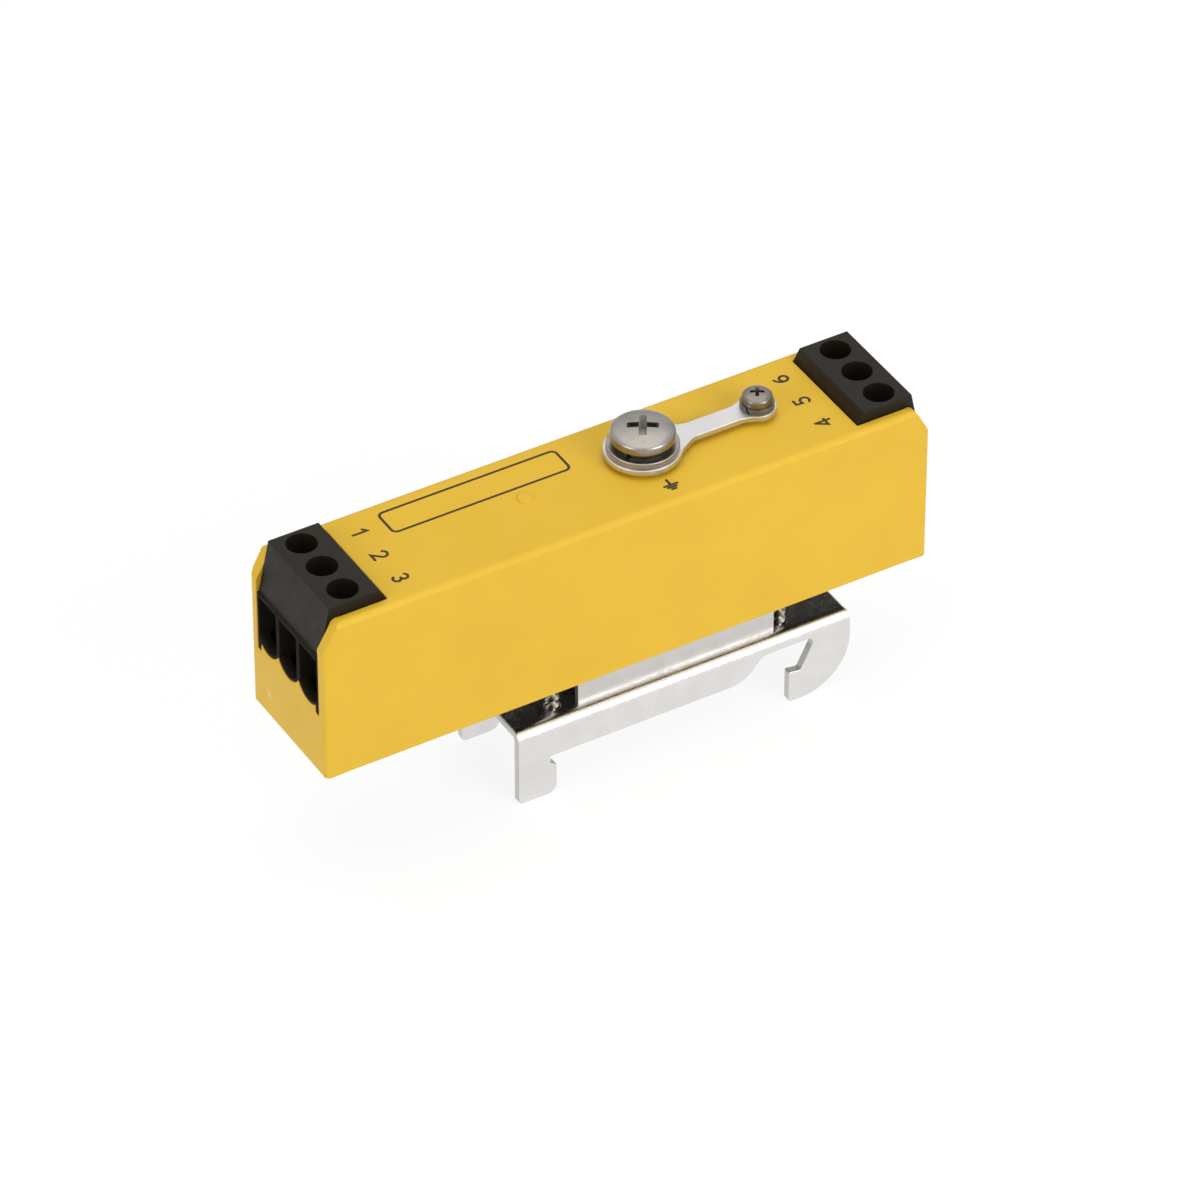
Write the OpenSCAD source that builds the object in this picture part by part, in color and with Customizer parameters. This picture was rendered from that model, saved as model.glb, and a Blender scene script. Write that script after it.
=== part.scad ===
// Signal line surge protector on a spring foot for a 35 mm rail.
// X runs along the housing, -Y faces the viewer, Z = 0 is the plane that the foot's hooks stand on.

/* [Housing] */
// Length of the moulded housing
body_l = 86.5; // [80:0.5:100]
// Height of the housing from its underside to its top
body_h = 23.4; // [22:0.1:25]
// Thickness of the side and end walls
wall = 1.6; // [1.2:0.1:2.4]
// Thickness of the top wall
roof_t = 1.8; // [1.4:0.1:2.4]
// Radius of the housing's outer edges
edge_r = 0.8; // [0.4:0.1:1.2]
// Length of the slanted corner at each end of the side walls
corner_run = 2.1; // [1:0.1:4]
// Height of the slanted corner
corner_drop = 3.9; // [2:0.1:6]
// Radius that softens both ends of the slant
corner_r = 1.2; // [0.6:0.1:1.8]
// Depth of the three round scallops in each end wall
scallop_d = 1.5; // [0.8:0.1:2.2]
// Width of the slit between the scallops and each side wall
slit_w = 0.9; // [0.4:0.1:1.2]
// Depth of that slit below the scallops
slit_drop = 0.6; // [0.3:0.1:1.2]
// Place of the moulding mark along the top
mark_x = -9.4; // [-14:0.1:-4]
// Diameter of the moulding mark
mark_d = 2.0; // [1:0.1:3]
// Height of the moulding mark
mark_h = 0.3; // [0.2:0.1:0.6]

/* [Base cover] */
// Thickness of the bonded base cover
cover_t = 2.0; // [1.2:0.1:3]
// Gap between the cover and the housing's walls
cover_gap = 0.05; // [0.02:0.01:0.15]
// Diameter of the cover's screw bosses
boss_d = 4.6; // [4:0.1:5]

/* [Circuit board] */
// Height of the board's lower face above the housing's underside
board_lift = 5.8; // [4.6:0.1:6.4]
// Thickness of the board
board_t = 1.6; // [1.0:0.1:2.0]
// Gap between the board's edge and the housing's walls
board_gap = 0.15; // [0.05:0.05:0.3]

/* [Terminal blocks] */
// Distance between neighbouring ways
pitch = 5.08; // [5:0.02:5.4]
// Length of a block from the end of the housing inwards
block_l = 9.75; // [9.4:0.05:11]
// Height that a block stands above the housing's top
block_proud = 1.6; // [1:0.1:2.4]
// Slant of a block's inner face above the housing's top
block_slant = 0.9; // [0.4:0.1:1.2]
// Gap between a block and the housing around it
block_gap = 0.08; // [0.04:0.01:0.15]
// Length of the slanted face
slope_run = 1.85; // [1:0.05:2.4]
// Height of the small lip above the wire entries
lip_h = 0.6; // [0.3:0.1:1]
// Width of the ledge on top of that lip
lip_ledge = 0.3; // [0.2:0.05:0.5]
// Thickness of the dividers between the wire entries
divider_t = 0.78; // [0.5:0.02:0.86]
// Height of the wire entries' floor above the board
entry_floor = 2.5; // [2.2:0.1:2.6]
// Thickness of the block's floor where it fills the scallops
floor_t = 0.32; // [0.25:0.01:0.5]
// Height of a wire entry
entry_h = 7.3; // [7:0.1:8]
// Depth of a wire entry from the end of the housing
entry_l = 8.15; // [7.8:0.05:8.6]
// Diameter of the screwdriver holes
hole_d = 3.95; // [3.8:0.05:4.3]
// Distance of the clamp screws from the end of the housing
screw_setback = 5.13; // [5:0.01:5.3]

/* [Wire clamps] */
// Outer diameter of a clamp screw's thread
clamp_d = 2.94; // [2.5:0.02:3.0]
// Diameter of a clamp screw's head
clamp_head_d = 3.6; // [3.4:0.05:3.7]
// Height of a clamp screw's head
clamp_head_h = 1.75; // [1.2:0.05:2.2]
// Depth of a clamp screw's head below the block's top
head_depth = 3.5; // [3:0.1:3.6]
// Thickness of the ledge that the head rests on
seat_t = 0.6; // [0.5:0.05:0.65]
// Radial clearance of the clamp screw in its cage
thread_gap = 0.06; // [0.03:0.01:0.1]
// Width of a clamp cage
cage_w = 3.96; // [3.6:0.02:4.0]
// Length of a clamp cage along the wire
cage_l = 3.4; // [2.8:0.1:3.6]
// Thickness of a cage's side walls
cage_side = 0.45; // [0.35:0.05:0.45]
// Thickness of a cage's threaded top
cage_top = 1.0; // [0.8:0.1:1.1]
// Thickness of a cage's lower jaw
cage_jaw = 0.9; // [0.7:0.1:1.0]
// Room for the wire while the clamp is open
wire_room = 3.1; // [2.9:0.1:3.2]
// Height of the contact bar's top above the board
bar_top = 7.6; // [7.5:0.1:7.7]
// Thickness of the contact bar
bar_t = 0.8; // [0.6:0.05:0.9]
// Width of the contact bar
bar_w = 2.2; // [1.6:0.1:2.3]
// Distance of the bar's front end from the end of the housing
bar_start = 2.7; // [2.4:0.1:3]
// Width of the solder pin
pin_w = 1.0; // [0.8:0.1:1.2]

/* [Top terminals] */
// Place of the ground screw along the housing
ground_x = 7.4; // [6:0.1:9]
// Place of the shield screw along the housing
shield_x = 23.9; // [22.4:0.1:25]
// Place of both screws across the housing
row_y = 0.6; // [0:0.1:0.8]
// Height that the two posts stand above the housing's top
post_proud = 0.6; // [0.3:0.1:1]
// Outer diameter of the ground screw's thread
ground_d = 4.1; // [3.8:0.05:4.2]
// Diameter of the ground screw's head
ground_head_d = 8.2; // [7.6:0.1:9]
// Height of the ground screw's head
ground_head_h = 1.8; // [1.6:0.1:2.4]
// Height of the dome on the ground screw's head
ground_dome = 1.0; // [0.6:0.1:1.2]
// Length of the ground screw below its head
ground_l = 10; // [7:0.5:12]
// Outer diameter of the shield screw's thread
shield_d = 1.96; // [1.8:0.02:2.2]
// Diameter of the shield screw's head
shield_head_d = 3.85; // [3.6:0.05:4.4]
// Height of the shield screw's head
shield_head_h = 1.5; // [1.3:0.1:2]
// Height of the dome on the shield screw's head
shield_dome = 0.7; // [0.4:0.1:0.9]
// Length of the shield screw below its head
shield_l = 7; // [5:0.5:8]
// Turn of the cross recesses in both heads
recess_turn = -31; // [-45:1:45]
// Radial clearance of the top screws in their posts
post_gap = 0.06; // [0.03:0.01:0.1]
// Outer diameter of the flat washer
flat_d = 9.2; // [8.6:0.1:10]
// Thickness of the flat washer
flat_t = 0.8; // [0.6:0.1:1.2]
// Outer diameter of the large lock washer
lock_d = 7.0; // [6.6:0.1:7.6]
// Thickness of the large lock washer
lock_t = 0.9; // [0.7:0.1:1.2]
// Outer diameter of the small lock washer
small_lock_d = 4.4; // [4.0:0.1:4.8]
// Thickness of the small lock washer
small_lock_t = 0.7; // [0.5:0.1:0.9]
// Thickness of the shield link
link_t = 0.8; // [0.5:0.1:1.2]
// Diameter of the link's large eye
link_eye_d = 9.9; // [9.4:0.1:11]
// Diameter of the link's small eye
link_small_d = 4.9; // [4.6:0.1:5.6]
// Width of the link between its eyes
link_w = 2.9; // [2:0.1:3.4]

/* [Posts] */
// Width across flats of the ground post
post_af = 8.0; // [7:0.1:8.4]
// Diameter of the ground post's round ends
post_end_d = 6.4; // [5.6:0.1:6.8]
// Diameter of the shield post
shield_post_d = 4.2; // [3.6:0.1:4.4]
// Diameter of the shield post's upper end
shield_end_d = 3.2; // [2.8:0.1:3.5]

/* [Parts on the board] */
// Place of the gas tube along the board
tube_x = -22; // [-24:0.5:-20]
// Diameter of the gas tube
tube_d = 8; // [6:0.5:8.5]
// Length of the gas tube
tube_l = 10; // [8:0.5:12]
// Place of the series resistors along the board
resistor_x = -8.5; // [-10:0.5:-7]
// Diameter of a series resistor
resistor_d = 3.2; // [2.4:0.1:3.6]
// Length of a series resistor
resistor_l = 9; // [7:0.5:10]
// Distance of the series resistors from the board's centre line
resistor_y = 4.6; // [4:0.1:5]
// Place of the suppressor diodes along the board
diode_x = 15.8; // [15.6:0.1:16]
// Diameter of a suppressor diode
diode_d = 4.4; // [3.6:0.1:4.6]
// Length of a suppressor diode
diode_l = 7.4; // [6:0.1:7.6]
// Distance of the suppressor diodes from the board's centre line
diode_y = 5.1; // [4.9:0.1:5.2]
// Diameter of the parts' leads
lead_d = 0.8; // [0.6:0.1:1]

/* [Foot] */
// Height of the foot from the hooks' bottoms to its web's top
foot_h = 11.2; // [10.8:0.1:12]
// Width over the foot's two flanges
foot_w = 15.4; // [14:0.1:18]
// Thickness of the foot's spring steel
foot_t = 1.15; // [0.8:0.05:1.3]
// Outer radius of the foot's two folds
fold_r = 1.5; // [1.3:0.1:2]
// Left end of the foot
foot_left = -15.3; // [-17:0.1:-14.6]
// Right end of the foot
foot_right = 33.1; // [32:0.1:34]
// Height of the edges that sit on the rail
seat_h = 6.0; // [5.6:0.1:6.4]
// Throat of the fixed hook
throat_x = -10.75; // [-11:0.05:-10.4]
// Reach of the fixed hook under the rail's lip
hook_reach = 0.9; // [0.6:0.1:1.4]
// Height of the slot that takes the rail's lip
lip_slot = 1.03; // [1:0.01:1.4]
// Place of the spring hook's tip
tip_x = 24.1; // [23.6:0.1:24.8]
// Radius of the spring hook's round back
hook_r = 7.3; // [6.4:0.1:7.6]
// Height of the flange that is left above the spring hook's gap
neck_w = 2.0; // [1.6:0.1:2.6]
// Width of the spring hook below the neck
hook_top_w = 5.0; // [4:0.1:5.6]
// Width of the spring hook at the foot of its slanted inner edge
hook_low_w = 7.3; // [6.8:0.1:7.8]
// Distance from the spring hook's tip back to where the lower edge starts to rise
rise_from = 6.7; // [6:0.1:8]
// Distance from the spring hook's tip back to where the rise ends
rise_to = 3.9; // [3:0.1:4.6]

/* [Saddle and foot screws] */
// Height of the saddle between the foot and the housing
gap_h = 6.1; // [5:0.1:7]
// Place of the saddle's middle along the foot
saddle_x = 8.4; // [7.8:0.1:8.8]
// Length of the saddle
saddle_l = 28.5; // [24:0.5:29]
// Width of the saddle
saddle_w = 12.3; // [11:0.1:12.4]
// Thickness of the saddle's sheet
saddle_t = 0.8; // [0.5:0.05:1]
// Place of the middle of the four foot screws along the foot
foot_screw_x = 7.8; // [7.6:0.1:8.6]
// Distance between the foot screws along the foot
screw_step_x = 33.0; // [32.6:0.1:34]
// Distance between the foot screws across the foot
screw_step_y = 9.2; // [8.4:0.1:9.4]
// Outer diameter of a foot screw's thread
foot_screw_d = 1.8; // [1.6:0.1:2.2]
// Length of a foot screw below its head
foot_screw_l = 10.6; // [9:0.1:11]
// Diameter of a foot screw's head
foot_head_d = 2.8; // [2.6:0.1:3]
// Height of a foot screw's head
foot_head_h = 1.2; // [1:0.1:1.6]
// Length of the bolt that ties the foot to the ground post
bolt_l = 13; // [11:0.5:15]
// Diameter of that bolt's head
bolt_head_d = 7.6; // [7:0.1:8.4]
// Height of that bolt's head
bolt_head_h = 2.0; // [1.6:0.1:2.6]
// Radial clearance of a screw in a plain hole
hole_gap = 0.15; // [0.1:0.05:0.3]

/* [Hidden] */
$fn = 48;
LEFT = -1;
RIGHT = 1;
ways = 3;
over = 1;
yellow = [0.92, 0.73, 0.24];
black = [0.16, 0.15, 0.15];
steel = [0.72, 0.71, 0.68];
brass = [0.78, 0.62, 0.32];
tin = [0.80, 0.80, 0.78];

// Heights of the main levels
z_under = foot_h + gap_h;
z_top = z_under + body_h;
z_board = z_under + board_lift;
z_block = z_board + board_t;
z_block_top = z_top + block_proud;
z_post = z_top + post_proud;
z_entry = z_block + entry_floor;
z_scallop = z_entry - floor_t - block_gap;
z_entry_top = z_entry + entry_h;
z_bar = z_block + bar_top;
z_head = z_block_top - head_depth;
z_seat = z_head - clamp_head_h;
z_chamber = z_seat - seat_t;

// Widths and lengths that follow from the blocks
block_w = ways * pitch;
inner_w = block_w + 2 * block_gap;
body_w = inner_w + 2 * wall;
inner_l = body_l - 2 * wall;
entry_w = pitch - divider_t;
scallop_r = (pow(pitch / 2, 2) + pow(scallop_d, 2)) / (2 * scallop_d);

// Clamp cage while open: its top stays just above the contact bar
cage_lift_gap = 0.3;
cage_h = cage_jaw + wire_room + bar_t + cage_lift_gap + cage_top;
z_cage = z_bar - bar_t - wire_room - cage_jaw;
tip_gap = 0.05;
chamber_gap = 0.25;
cage_front = screw_setback - cage_l / 2;

// Slot in a clamp screw's head
slot_w = 0.7;
slot_d = 0.9;

// Heights of the two stacks on the link
z_link = z_post + link_t;
z_lock = z_link + flat_t;
z_ground_head = z_lock + lock_t;
z_shield_head = z_link + small_lock_t;

// Free thread below a screw's end
thread_room = 1;

// Place and tilt of a split washer's slit
slit_angle = 205;
slit_tilt = 35;

// Rings of the gas tube, and what it stands off the board
ring_d = 0.35;
ring_t = 1.2;
tube_lift = tube_d / 2 + 0.6;
tube_lead_y = (tube_l - ring_t) / 2;

// Leads: straight run before the bend, length below the board, body's height above the board
lead_bend = 1.2;
pin_out = 1.5;
stand_off = 0.3;

// Ribs that hold the board down
rib_x = 29.5;
rib_w = 2;
rib_d = 1.2;

// Radii and slants of the foot's outline
rise_r = 4;
neck_r = 1.5;
edge_soft = 0.25;
tip_slant = 0.6;
spring_tip_drop = 0.12;
spring_tip_slant = 0.25;

// Unit vector along v
function unit(v) = v / norm(v);
// Points of the arc of radius r that rounds the corner b between a and c
function corner(a, b, c, r) =
  let (
    u = unit(a - b),
    v = unit(c - b),
    half = acos(u * v) / 2,
    centre = b + unit(u + v) * r / sin(half),
    p = b + u * r / tan(half) - centre,
    q = b + v * r / tan(half) - centre,
    start = atan2(p.y, p.x),
    turn = (atan2(q.y, q.x) - start + 540) % 360 - 180,
    steps = max(2, ceil(abs(turn) / 12))
  )
  [for (i = [0:steps]) centre + r * [cos(start + turn * i / steps), sin(start + turn * i / steps)]];
// Outline through [x, y, radius] corners, each rounded by its own radius
function rounded(pts) =
  let (n = len(pts), flat = [for (p = pts) [p.x, p.y]])
  [for (i = [0:n - 1]) each pts[i][2] == 0 ? [flat[i]]
    : corner(flat[(i + n - 1) % n], flat[i], flat[(i + 1) % n], pts[i][2])];

// Box from its lowest to its highest corner
module block(low, high) translate(low) cube(high - low);

// Upright wall of depth d, centred on Y, from an outline in X and Z
module side_cut(d) translate([0, d / 2, 0]) rotate([90, 0, 0]) linear_extrude(d) children();

// Bar of length l along X, centred, from an outline in Y and Z
module end_cut(l) translate([-l / 2, 0, 0]) rotate([90, 0, 90]) linear_extrude(l) children();

// Puts a piece at one end of the housing, with its X running inwards
module at_end(side) {
  translate([side * body_l / 2, 0, 0])
    if (side == RIGHT) mirror([1, 0, 0]) children();
    else children();
}

// Puts a piece on a way's centre line, where way 1 is nearest the viewer
module at_way(way) translate([0, (way - (ways + 1) / 2) * pitch, 0]) children();

// Cross-shaped driver recess, cut downwards from z = 0
module cross_recess(size, depth, slot) {
  intersection() {
    translate([0, 0, -depth]) cylinder(h = depth + over, r1 = size * 0.22, r2 = size * 0.62);
    union() {
      block([-size, -slot / 2, -depth], [size, slot / 2, over]);
      block([-slot / 2, -size, -depth], [slot / 2, size, over]);
    }
  }
}

// Round screw head with a soft rim, standing on z = 0
module soft_head(d, h, r) {
  rotate_extrude() polygon(rounded([[0, 0, 0], [d / 2, 0, r * 0.2], [d / 2, h, r], [0, h, 0]]));
}

// Round screw head with an upright edge and a domed top, standing on z = 0
module domed_head(d, h, dome) {
  edge = [for (a = [0:9:81]) [d / 2 * cos(a), h - dome + dome * sin(a)]];
  rotate_extrude() polygon([[0, 0], [d / 2, 0], each edge, [0, h]]);
}

// Split spring washer with a slanted slit
module split_washer(d, hole, t, slit) {
  difference() {
    cylinder(h = t, d = d);
    translate([0, 0, -over]) cylinder(h = t + 2 * over, d = hole);
    rotate([0, 0, slit_angle]) translate([d / 2, 0, t / 2]) rotate([slit_tilt, 0, 0])
      cube([d, slit, 4 * t], center = true);
  }
}

// Moulded shell, open below, cut open at both ends for the terminal blocks
module housing() {
  color(yellow) {
    difference() {
      intersection() {
        side_cut(body_w) polygon(rounded([
          [-body_l / 2, z_under, 0], [body_l / 2, z_under, 0],
          [body_l / 2, z_top - corner_drop, corner_r], [body_l / 2 - corner_run, z_top, corner_r],
          [corner_run - body_l / 2, z_top, corner_r], [-body_l / 2, z_top - corner_drop, corner_r]]));
        end_cut(body_l) polygon(rounded([
          [-body_w / 2, z_under, 0], [body_w / 2, z_under, 0],
          [body_w / 2, z_top, edge_r], [-body_w / 2, z_top, edge_r]]));
        translate([0, 0, z_under]) linear_extrude(body_h) polygon(rounded([
          [-body_l / 2, -body_w / 2, edge_r], [body_l / 2, -body_w / 2, edge_r],
          [body_l / 2, body_w / 2, edge_r], [-body_l / 2, body_w / 2, edge_r]]));
      }
      block([-inner_l / 2, -inner_w / 2, z_under - over], [inner_l / 2, inner_w / 2, z_top - roof_t]);
      for (side = [LEFT, RIGHT]) at_end(side) end_opening();
      translate([ground_x, row_y, z_top - roof_t - over])
        cylinder(h = roof_t + 2 * over, d = post_end_d + 2 * cover_gap);
      translate([shield_x, row_y, z_top - roof_t - over])
        cylinder(h = roof_t + 2 * over, d = shield_end_d + 2 * cover_gap);
    }
    for (x = [-rib_x, rib_x], turn = [0, 180]) rotate([0, 0, turn])
      block([x - rib_w / 2, inner_w / 2 - rib_d, z_block],
        [x + rib_w / 2, (inner_w + wall) / 2, z_top - roof_t / 2]);
    translate([mark_x, row_y, z_top - roof_t / 2]) soft_head(mark_d, roof_t / 2 + mark_h, mark_h * 0.8);
  }
}

// Opening in the top and end of the housing around one terminal block
module end_opening() {
  block([-over, -inner_w / 2, z_scallop + scallop_d], [block_l + block_gap, inner_w / 2, z_top + over]);
  for (way = [1:ways]) at_way(way) intersection() {
    scallop_bore(-over, wall + over, scallop_r);
    block([-2 * over, -pitch / 2 - block_gap, z_scallop - over],
      [block_l, pitch / 2 + block_gap, z_scallop + scallop_d + over]);
  }
  for (side = [-inner_w / 2, inner_w / 2 - slit_w])
    block([-over, side, z_scallop - slit_drop], [wall + over, side + slit_w, z_scallop + scallop_d + over]);
}

// Round bar along X on the axis of one scallop
module scallop_bore(from, to, r) {
  translate([from, 0, z_scallop + scallop_r]) rotate([0, 90, 0]) cylinder(h = to - from, r = r);
}

// Flat cover bonded into the bottom of the housing, with bosses for the foot screws
module base_cover() {
  color(black) difference() {
    union() {
      block([cover_gap - inner_l / 2, cover_gap - inner_w / 2, z_under],
        [inner_l / 2 - cover_gap, inner_w / 2 - cover_gap, z_under + cover_t]);
      for (i = [1:4]) at_foot_screw(i) translate([0, 0, z_under]) cylinder(h = board_lift, d = boss_d);
    }
    translate([ground_x, row_y, z_under - over])
      cylinder(h = cover_t + 2 * over, d = post_end_d + 2 * cover_gap);
    for (i = [1:4]) at_foot_screw(i) translate([0, 0, z_under - over])
      cylinder(h = board_lift + over - board_t / 2, d = foot_screw_d);
  }
}

// Puts a piece on the axis of one of the four foot screws
module at_foot_screw(i) {
  x = foot_screw_x + (i % 2 == 1 ? -1 : 1) * screw_step_x / 2;
  translate([x, (i < 3 ? -1 : 1) * screw_step_y / 2, 0]) children();
}

// Glass-fibre board with the holes of everything that is soldered or passed through it
module circuit_board() {
  color([0.12, 0.36, 0.22]) difference() {
    block([board_gap - inner_l / 2, board_gap - inner_w / 2, z_board],
      [inner_l / 2 - board_gap, inner_w / 2 - board_gap, z_block]);
    for (side = [LEFT, RIGHT], way = [1:ways]) at_end(side) at_way(way)
      board_hole(entry_l - bar_t / 2, 0, pin_w + bar_t / 2);
    board_hole(ground_x, row_y, post_end_d + 2 * cover_gap);
    board_hole(shield_x, row_y, shield_d);
    for (y = [-1, 0, 1]) board_hole(tube_x, y * tube_lead_y, lead_d);
    for (x = [-1, 1], y = [-1, 1]) {
      board_hole(resistor_x + x * lead_reach(resistor_l), y * resistor_y, lead_d);
      board_hole(diode_x + x * lead_reach(diode_l), y * diode_y, lead_d);
    }
  }
}
module board_hole(x, y, d) translate([x, y, z_board - over]) cylinder(h = board_t + 2 * over, d = d);

// Black moulded block with three wire entries and three screwdriver holes
module terminal_block(side) {
  z_chin = z_scallop + scallop_d + block_gap;
  color(black) at_end(side) difference() {
    union() {
      side_cut(block_w) polygon([
        [block_gap, z_chin], [wall + block_gap, z_chin],
        [wall + block_gap, z_block], [block_l, z_block], [block_l, z_top],
        [block_l - block_slant, z_block_top], [slope_run, z_block_top],
        [block_gap + lip_ledge, z_entry_top + lip_h], [block_gap, z_entry_top + lip_h]]);
      for (way = [1:ways]) at_way(way) intersection() {
        scallop_bore(block_gap, wall + 2 * block_gap, scallop_r - block_gap);
        block([0, -pitch / 2, z_scallop], [block_l, pitch / 2, z_chin + block_gap]);
      }
    }
    for (way = [1:ways]) at_way(way) {
      block([wall, -entry_w / 2, z_entry], [entry_l, entry_w / 2, z_entry_top]);
      intersection() {
        block([-over, -entry_w / 2, z_scallop], [wall + over, entry_w / 2, z_entry_top]);
        union() {
          scallop_bore(-2 * over, wall + 2 * over, scallop_r - block_gap - floor_t);
          block([-2 * over, -pitch, z_scallop + scallop_r], [wall + 2 * over, pitch, z_top]);
        }
      }
      block([cage_front - chamber_gap, -entry_w / 2, z_entry], [entry_l, entry_w / 2, z_chamber]);
      translate([screw_setback, 0, z_seat]) cylinder(h = z_block_top - z_seat + over, d = hole_d);
      translate([screw_setback, 0, z_chamber - over])
        cylinder(h = seat_t + 2 * over, d = clamp_d + 2 * hole_gap);
      block([entry_l - bar_t, -pin_w / 2, z_block - over], [entry_l, pin_w / 2, z_entry + over]);
    }
  }
}

// Slotted screw that stays at its height and lifts the cage as it turns
module clamp_screw(side, way) {
  color(steel) at_end(side) at_way(way) translate([screw_setback, 0, 0]) difference() {
    union() {
      translate([0, 0, z_bar + tip_gap]) cylinder(h = z_seat - z_bar, d = clamp_d);
      translate([0, 0, z_seat + tip_gap]) soft_head(clamp_head_d, clamp_head_h - tip_gap, 0.3);
    }
    translate([0, 0, z_head]) cube([clamp_head_d + over, slot_w, 2 * slot_d], center = true);
  }
}

// Square cage around the contact bar: threaded top, jaw below the wire
module clamp_cage(side, way) {
  color(tin) at_end(side) at_way(way) translate([screw_setback, 0, z_cage]) difference() {
    block([-cage_l / 2, -cage_w / 2, 0], [cage_l / 2, cage_w / 2, cage_h]);
    block([-cage_l, cage_side - cage_w / 2, cage_jaw], [cage_l, cage_w / 2 - cage_side, cage_h - cage_top]);
    translate([0, 0, cage_h - cage_top - over])
      cylinder(h = cage_top + 2 * over, d = clamp_d + 2 * thread_gap);
  }
}

// Bent contact: bar through the cage, leg down the back of the entry, pin through the board
module contact(side, way) {
  color(tin) at_end(side) at_way(way) {
    block([bar_start, -bar_w / 2, z_bar - bar_t], [entry_l, bar_w / 2, z_bar]);
    block([entry_l - bar_t, -bar_w / 2, z_entry], [entry_l, bar_w / 2, z_bar]);
    block([entry_l - bar_t, -pin_w / 2, z_board - pin_out], [entry_l, pin_w / 2, z_entry + bar_t]);
  }
}

// Bent wire lead: out of a part's end, round a bend and down through the board
module lead(length, height) {
  translate([0, 0, height]) rotate([0, 90, 0]) cylinder(h = length, d = lead_d);
  translate([length, 0, height]) sphere(d = lead_d);
  translate([length, 0, -board_t - pin_out]) cylinder(h = height + board_t + pin_out, d = lead_d);
}
function lead_reach(length) = length / 2 + lead_bend;

// Part lying on the board, with a lead at each end
module axial_part(d, length, height, rim) {
  translate([0, 0, height]) rotate([0, 90, 0]) translate([0, 0, -length / 2])
    rotate_extrude() polygon(rounded([[0, 0, 0], [d / 2, 0, rim], [d / 2, length, rim], [0, length, 0]]));
  for (turn = [0, 180]) rotate([0, 0, turn]) translate([length / 2 - lead_bend, 0, 0])
    lead(2 * lead_bend, height);
}

// Three-electrode gas tube: ceramic barrel with metal end caps and a middle ring
module gas_tube() {
  color([0.86, 0.84, 0.80]) translate([tube_x, 0, z_block]) {
    translate([0, 0, tube_lift]) rotate([90, 0, 0]) translate([0, 0, -tube_l / 2]) {
      cylinder(h = tube_l, d = tube_d - 2 * ring_d);
      for (z = [0, (tube_l - ring_t) / 2, tube_l - ring_t])
        translate([0, 0, z]) cylinder(h = ring_t, d = tube_d);
    }
    for (y = [-1, 0, 1]) translate([0, y * tube_lead_y, -board_t - pin_out])
      cylinder(h = board_t + pin_out + tube_lift - tube_d / 4, d = lead_d);
  }
}

// Series resistor, one in each line
module resistor(y) {
  color([0.30, 0.42, 0.36]) translate([resistor_x, y, z_block])
    axial_part(resistor_d, resistor_l, resistor_d / 2 + stand_off, 0.5);
}

// Suppressor diode, one from each line to the shield
module diode(y) {
  color([0.20, 0.20, 0.22]) translate([diode_x, y, z_block])
    axial_part(diode_d, diode_l, diode_d / 2 + stand_off, 0.6);
}

// Hexagonal brass post from the saddle to the top, threaded at both ends
module ground_post() {
  color(brass) translate([ground_x, row_y, 0]) difference() {
    union() {
      translate([0, 0, z_under]) cylinder(h = z_post - z_under, d = post_end_d);
      translate([0, 0, z_block]) rotate([0, 0, 30])
        cylinder(h = z_top - roof_t - z_block, d = post_af / cos(30), $fn = 6);
    }
    translate([0, 0, z_post - ground_l]) cylinder(h = ground_l + over, d = ground_d + 2 * post_gap);
    translate([0, 0, z_under - over])
      cylinder(h = bolt_l - foot_t - gap_h + thread_room + over, d = ground_d + 2 * post_gap);
  }
}

// Round brass post from the board to the top, threaded for the shield screw
module shield_post() {
  color(brass) translate([shield_x, row_y, 0]) difference() {
    union() {
      translate([0, 0, z_board - pin_out]) cylinder(h = z_block - z_board + 2 * pin_out, d = shield_d);
      translate([0, 0, z_block]) cylinder(h = z_top - roof_t - z_block, d = shield_post_d);
      translate([0, 0, z_block]) cylinder(h = z_post - z_block, d = shield_end_d);
    }
    translate([0, 0, z_post - shield_l]) cylinder(h = shield_l + over, d = shield_d + 2 * post_gap);
  }
}

// Flat link with a large and a small eye, and a neck that flares into both
module shield_link() {
  span = shield_x - ground_x;
  root = [link_eye_d * 0.36, link_eye_d * 0.32];
  waist_in = link_eye_d * 0.66;
  waist_out = span - link_small_d * 0.6;
  small_root = [span - link_small_d * 0.2, link_small_d * 0.42];
  color(steel) translate([ground_x, row_y, z_post]) difference() {
    union() {
      cylinder(h = link_t, d = link_eye_d);
      translate([span, 0, 0]) cylinder(h = link_t, d = link_small_d);
      linear_extrude(link_t) polygon(rounded([
        [root.x, root.y, 0], [waist_in, link_w / 2, 2.5], [waist_out, link_w / 2, 1.5],
        [small_root.x, small_root.y, 0], [small_root.x, -small_root.y, 0],
        [waist_out, -link_w / 2, 1.5], [waist_in, -link_w / 2, 2.5], [root.x, -root.y, 0]]));
    }
    translate([0, 0, -over]) cylinder(h = link_t + 2 * over, d = ground_d + 2 * hole_gap);
    translate([span, 0, -over]) cylinder(h = link_t + 2 * over, d = shield_d + 2 * hole_gap);
  }
}

// Flat washer on the link's large eye
module ground_flat_washer() {
  color(steel) translate([ground_x, row_y, z_link]) difference() {
    cylinder(h = flat_t, d = flat_d);
    translate([0, 0, -over]) cylinder(h = flat_t + 2 * over, d = ground_d + 2 * hole_gap);
  }
}

module ground_lock_washer() {
  color(steel) translate([ground_x, row_y, z_lock])
    split_washer(lock_d, ground_d + 2 * hole_gap, lock_t, 0.5);
}

module shield_lock_washer() {
  color(steel) translate([shield_x, row_y, z_link])
    split_washer(small_lock_d, shield_d + 2 * hole_gap, small_lock_t, 0.3);
}

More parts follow.
